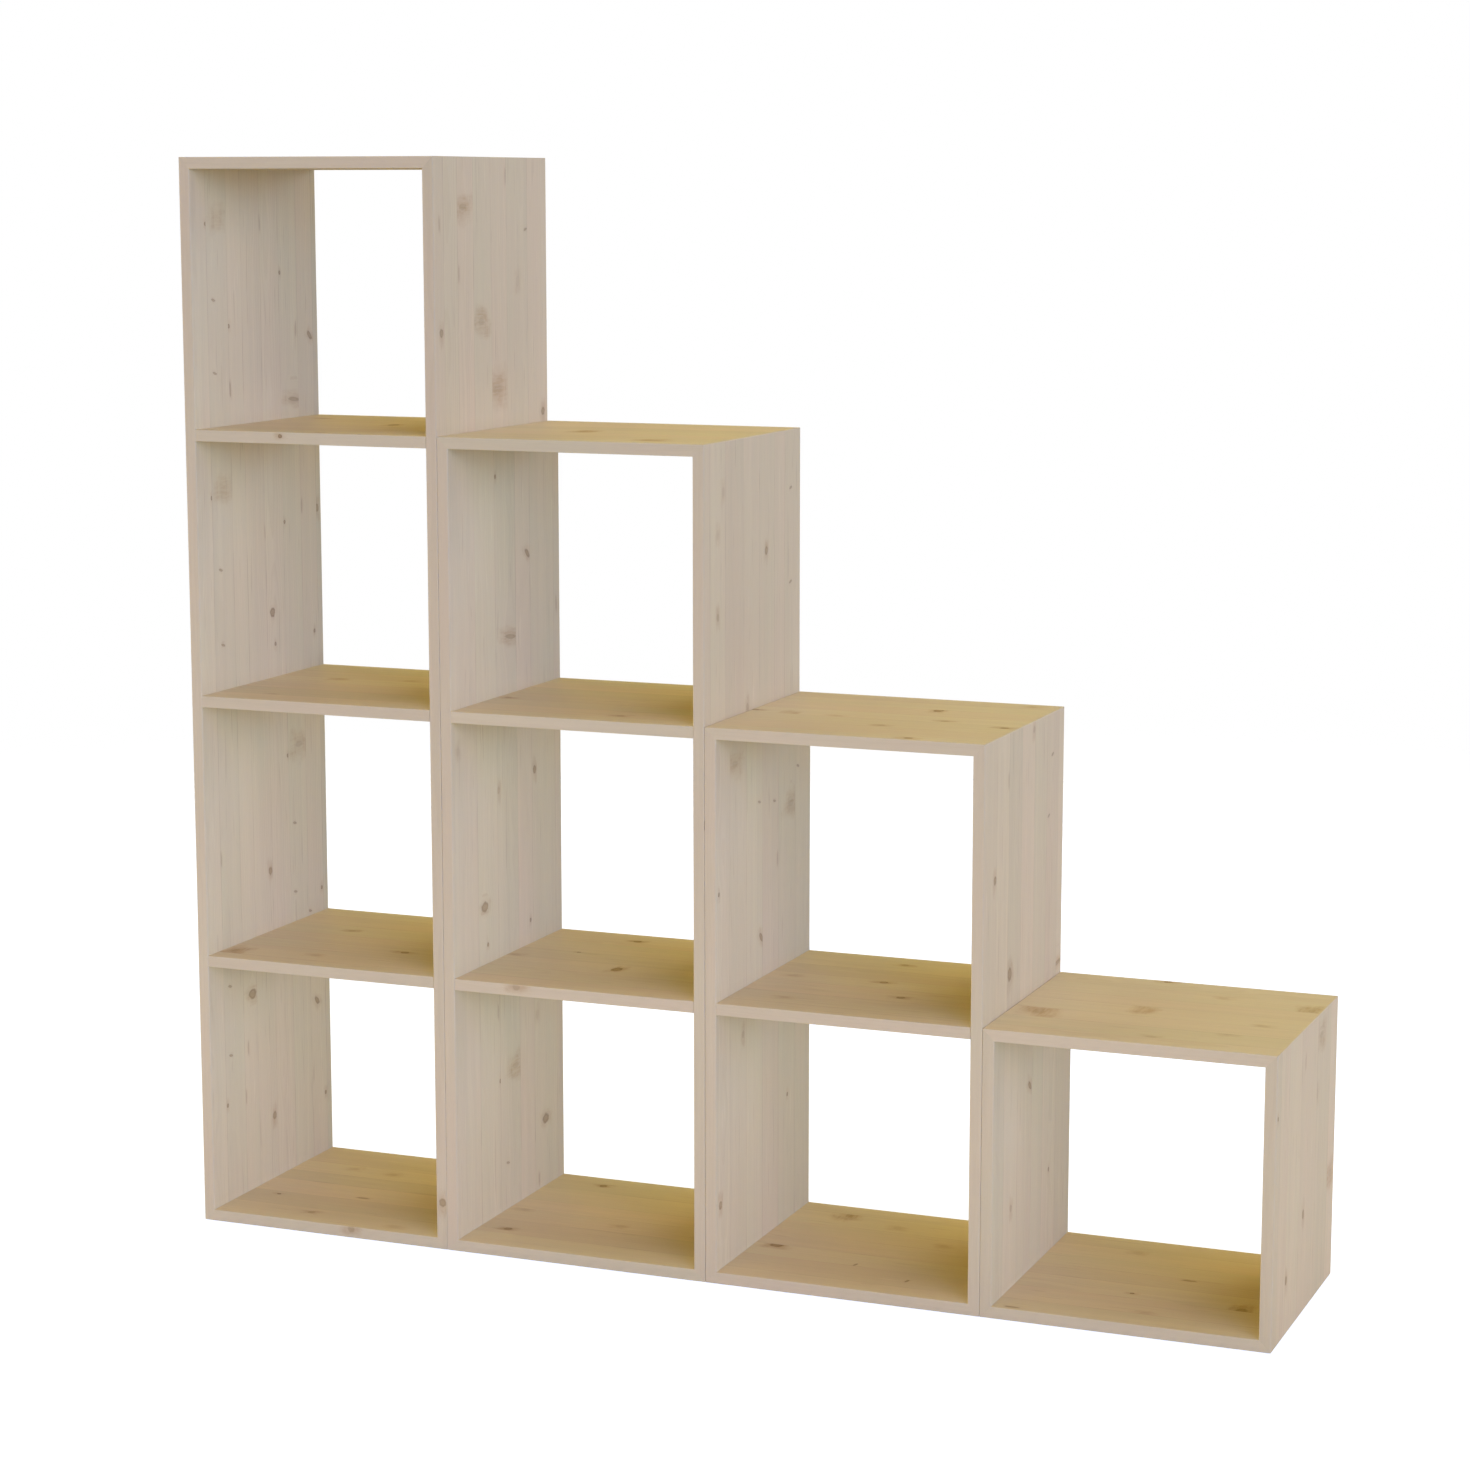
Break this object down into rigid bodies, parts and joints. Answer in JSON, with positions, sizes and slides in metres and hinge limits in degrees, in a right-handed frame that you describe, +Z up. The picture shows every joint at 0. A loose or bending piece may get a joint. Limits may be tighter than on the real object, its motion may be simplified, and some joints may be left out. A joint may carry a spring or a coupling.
{
  "type": "staircase bookshelf",
  "caption": "Open bookshelf in knotty spruce: square-celled towers side by side that step down like a staircase, with mitred corners and no back.",
  "frame": {"origin": "on the floor, under the middle of the row's bounding box", "axes": "+X along the row towards its low end, +Y from the front to the back, +Z up"},
  "size_m": [1.4488, 0.33, 1.403],
  "materials": {
    "spruce": "matt clear-oiled knotty spruce, edge-glued from staves",
    "birch_tongue": "bare birch plywood",
    "beech_peg": "bare beech"
  },
  "bodies": {
    "root": {"tower_1_left_side": "spruce", "tower_1_right_side": "spruce", "tower_1_top": "spruce", "tower_1_bottom": "spruce", "tower_1_shelf_1": "spruce", "tower_1_shelf_2": "spruce", "tower_1_shelf_3": "spruce", "tower_1_top_left_tongue": "birch_tongue", "tower_1_top_right_tongue": "birch_tongue", "tower_1_bottom_left_tongue": "birch_tongue", "tower_1_bottom_right_tongue": "birch_tongue", "tower_1_shelf_1_left_tongue": "birch_tongue", "tower_1_shelf_1_right_tongue": "birch_tongue", "tower_1_shelf_2_left_tongue": "birch_tongue", "tower_1_shelf_2_right_tongue": "birch_tongue", "tower_1_shelf_3_left_tongue": "birch_tongue", "tower_1_shelf_3_right_tongue": "birch_tongue", "tower_2_left_side": "spruce", "tower_2_right_side": "spruce", "tower_2_top": "spruce", "tower_2_bottom": "spruce", "tower_2_shelf_1": "spruce", "tower_2_shelf_2": "spruce", "tower_2_top_left_tongue": "birch_tongue", "tower_2_top_right_tongue": "birch_tongue", "tower_2_bottom_left_tongue": "birch_tongue", "tower_2_bottom_right_tongue": "birch_tongue", "tower_2_shelf_1_left_tongue": "birch_tongue", "tower_2_shelf_1_right_tongue": "birch_tongue", "tower_2_shelf_2_left_tongue": "birch_tongue", "tower_2_shelf_2_right_tongue": "birch_tongue", "tower_3_left_side": "spruce", "tower_3_right_side": "spruce", "tower_3_top": "spruce", "tower_3_bottom": "spruce", "tower_3_shelf_1": "spruce", "tower_3_top_left_tongue": "birch_tongue", "tower_3_top_right_tongue": "birch_tongue", "tower_3_bottom_left_tongue": "birch_tongue", "tower_3_bottom_right_tongue": "birch_tongue", "tower_3_shelf_1_left_tongue": "birch_tongue", "tower_3_shelf_1_right_tongue": "birch_tongue", "tower_4_left_side": "spruce", "tower_4_right_side": "spruce", "tower_4_top": "spruce", "tower_4_bottom": "spruce", "tower_4_top_left_tongue": "birch_tongue", "tower_4_top_right_tongue": "birch_tongue", "tower_4_bottom_left_tongue": "birch_tongue", "tower_4_bottom_right_tongue": "birch_tongue", "peg_1_2_front": "beech_peg", "peg_1_2_back": "beech_peg", "peg_2_3_front": "beech_peg", "peg_2_3_back": "beech_peg", "peg_3_4_front": "beech_peg", "peg_3_4_back": "beech_peg"}
  },
  "joints": []
}
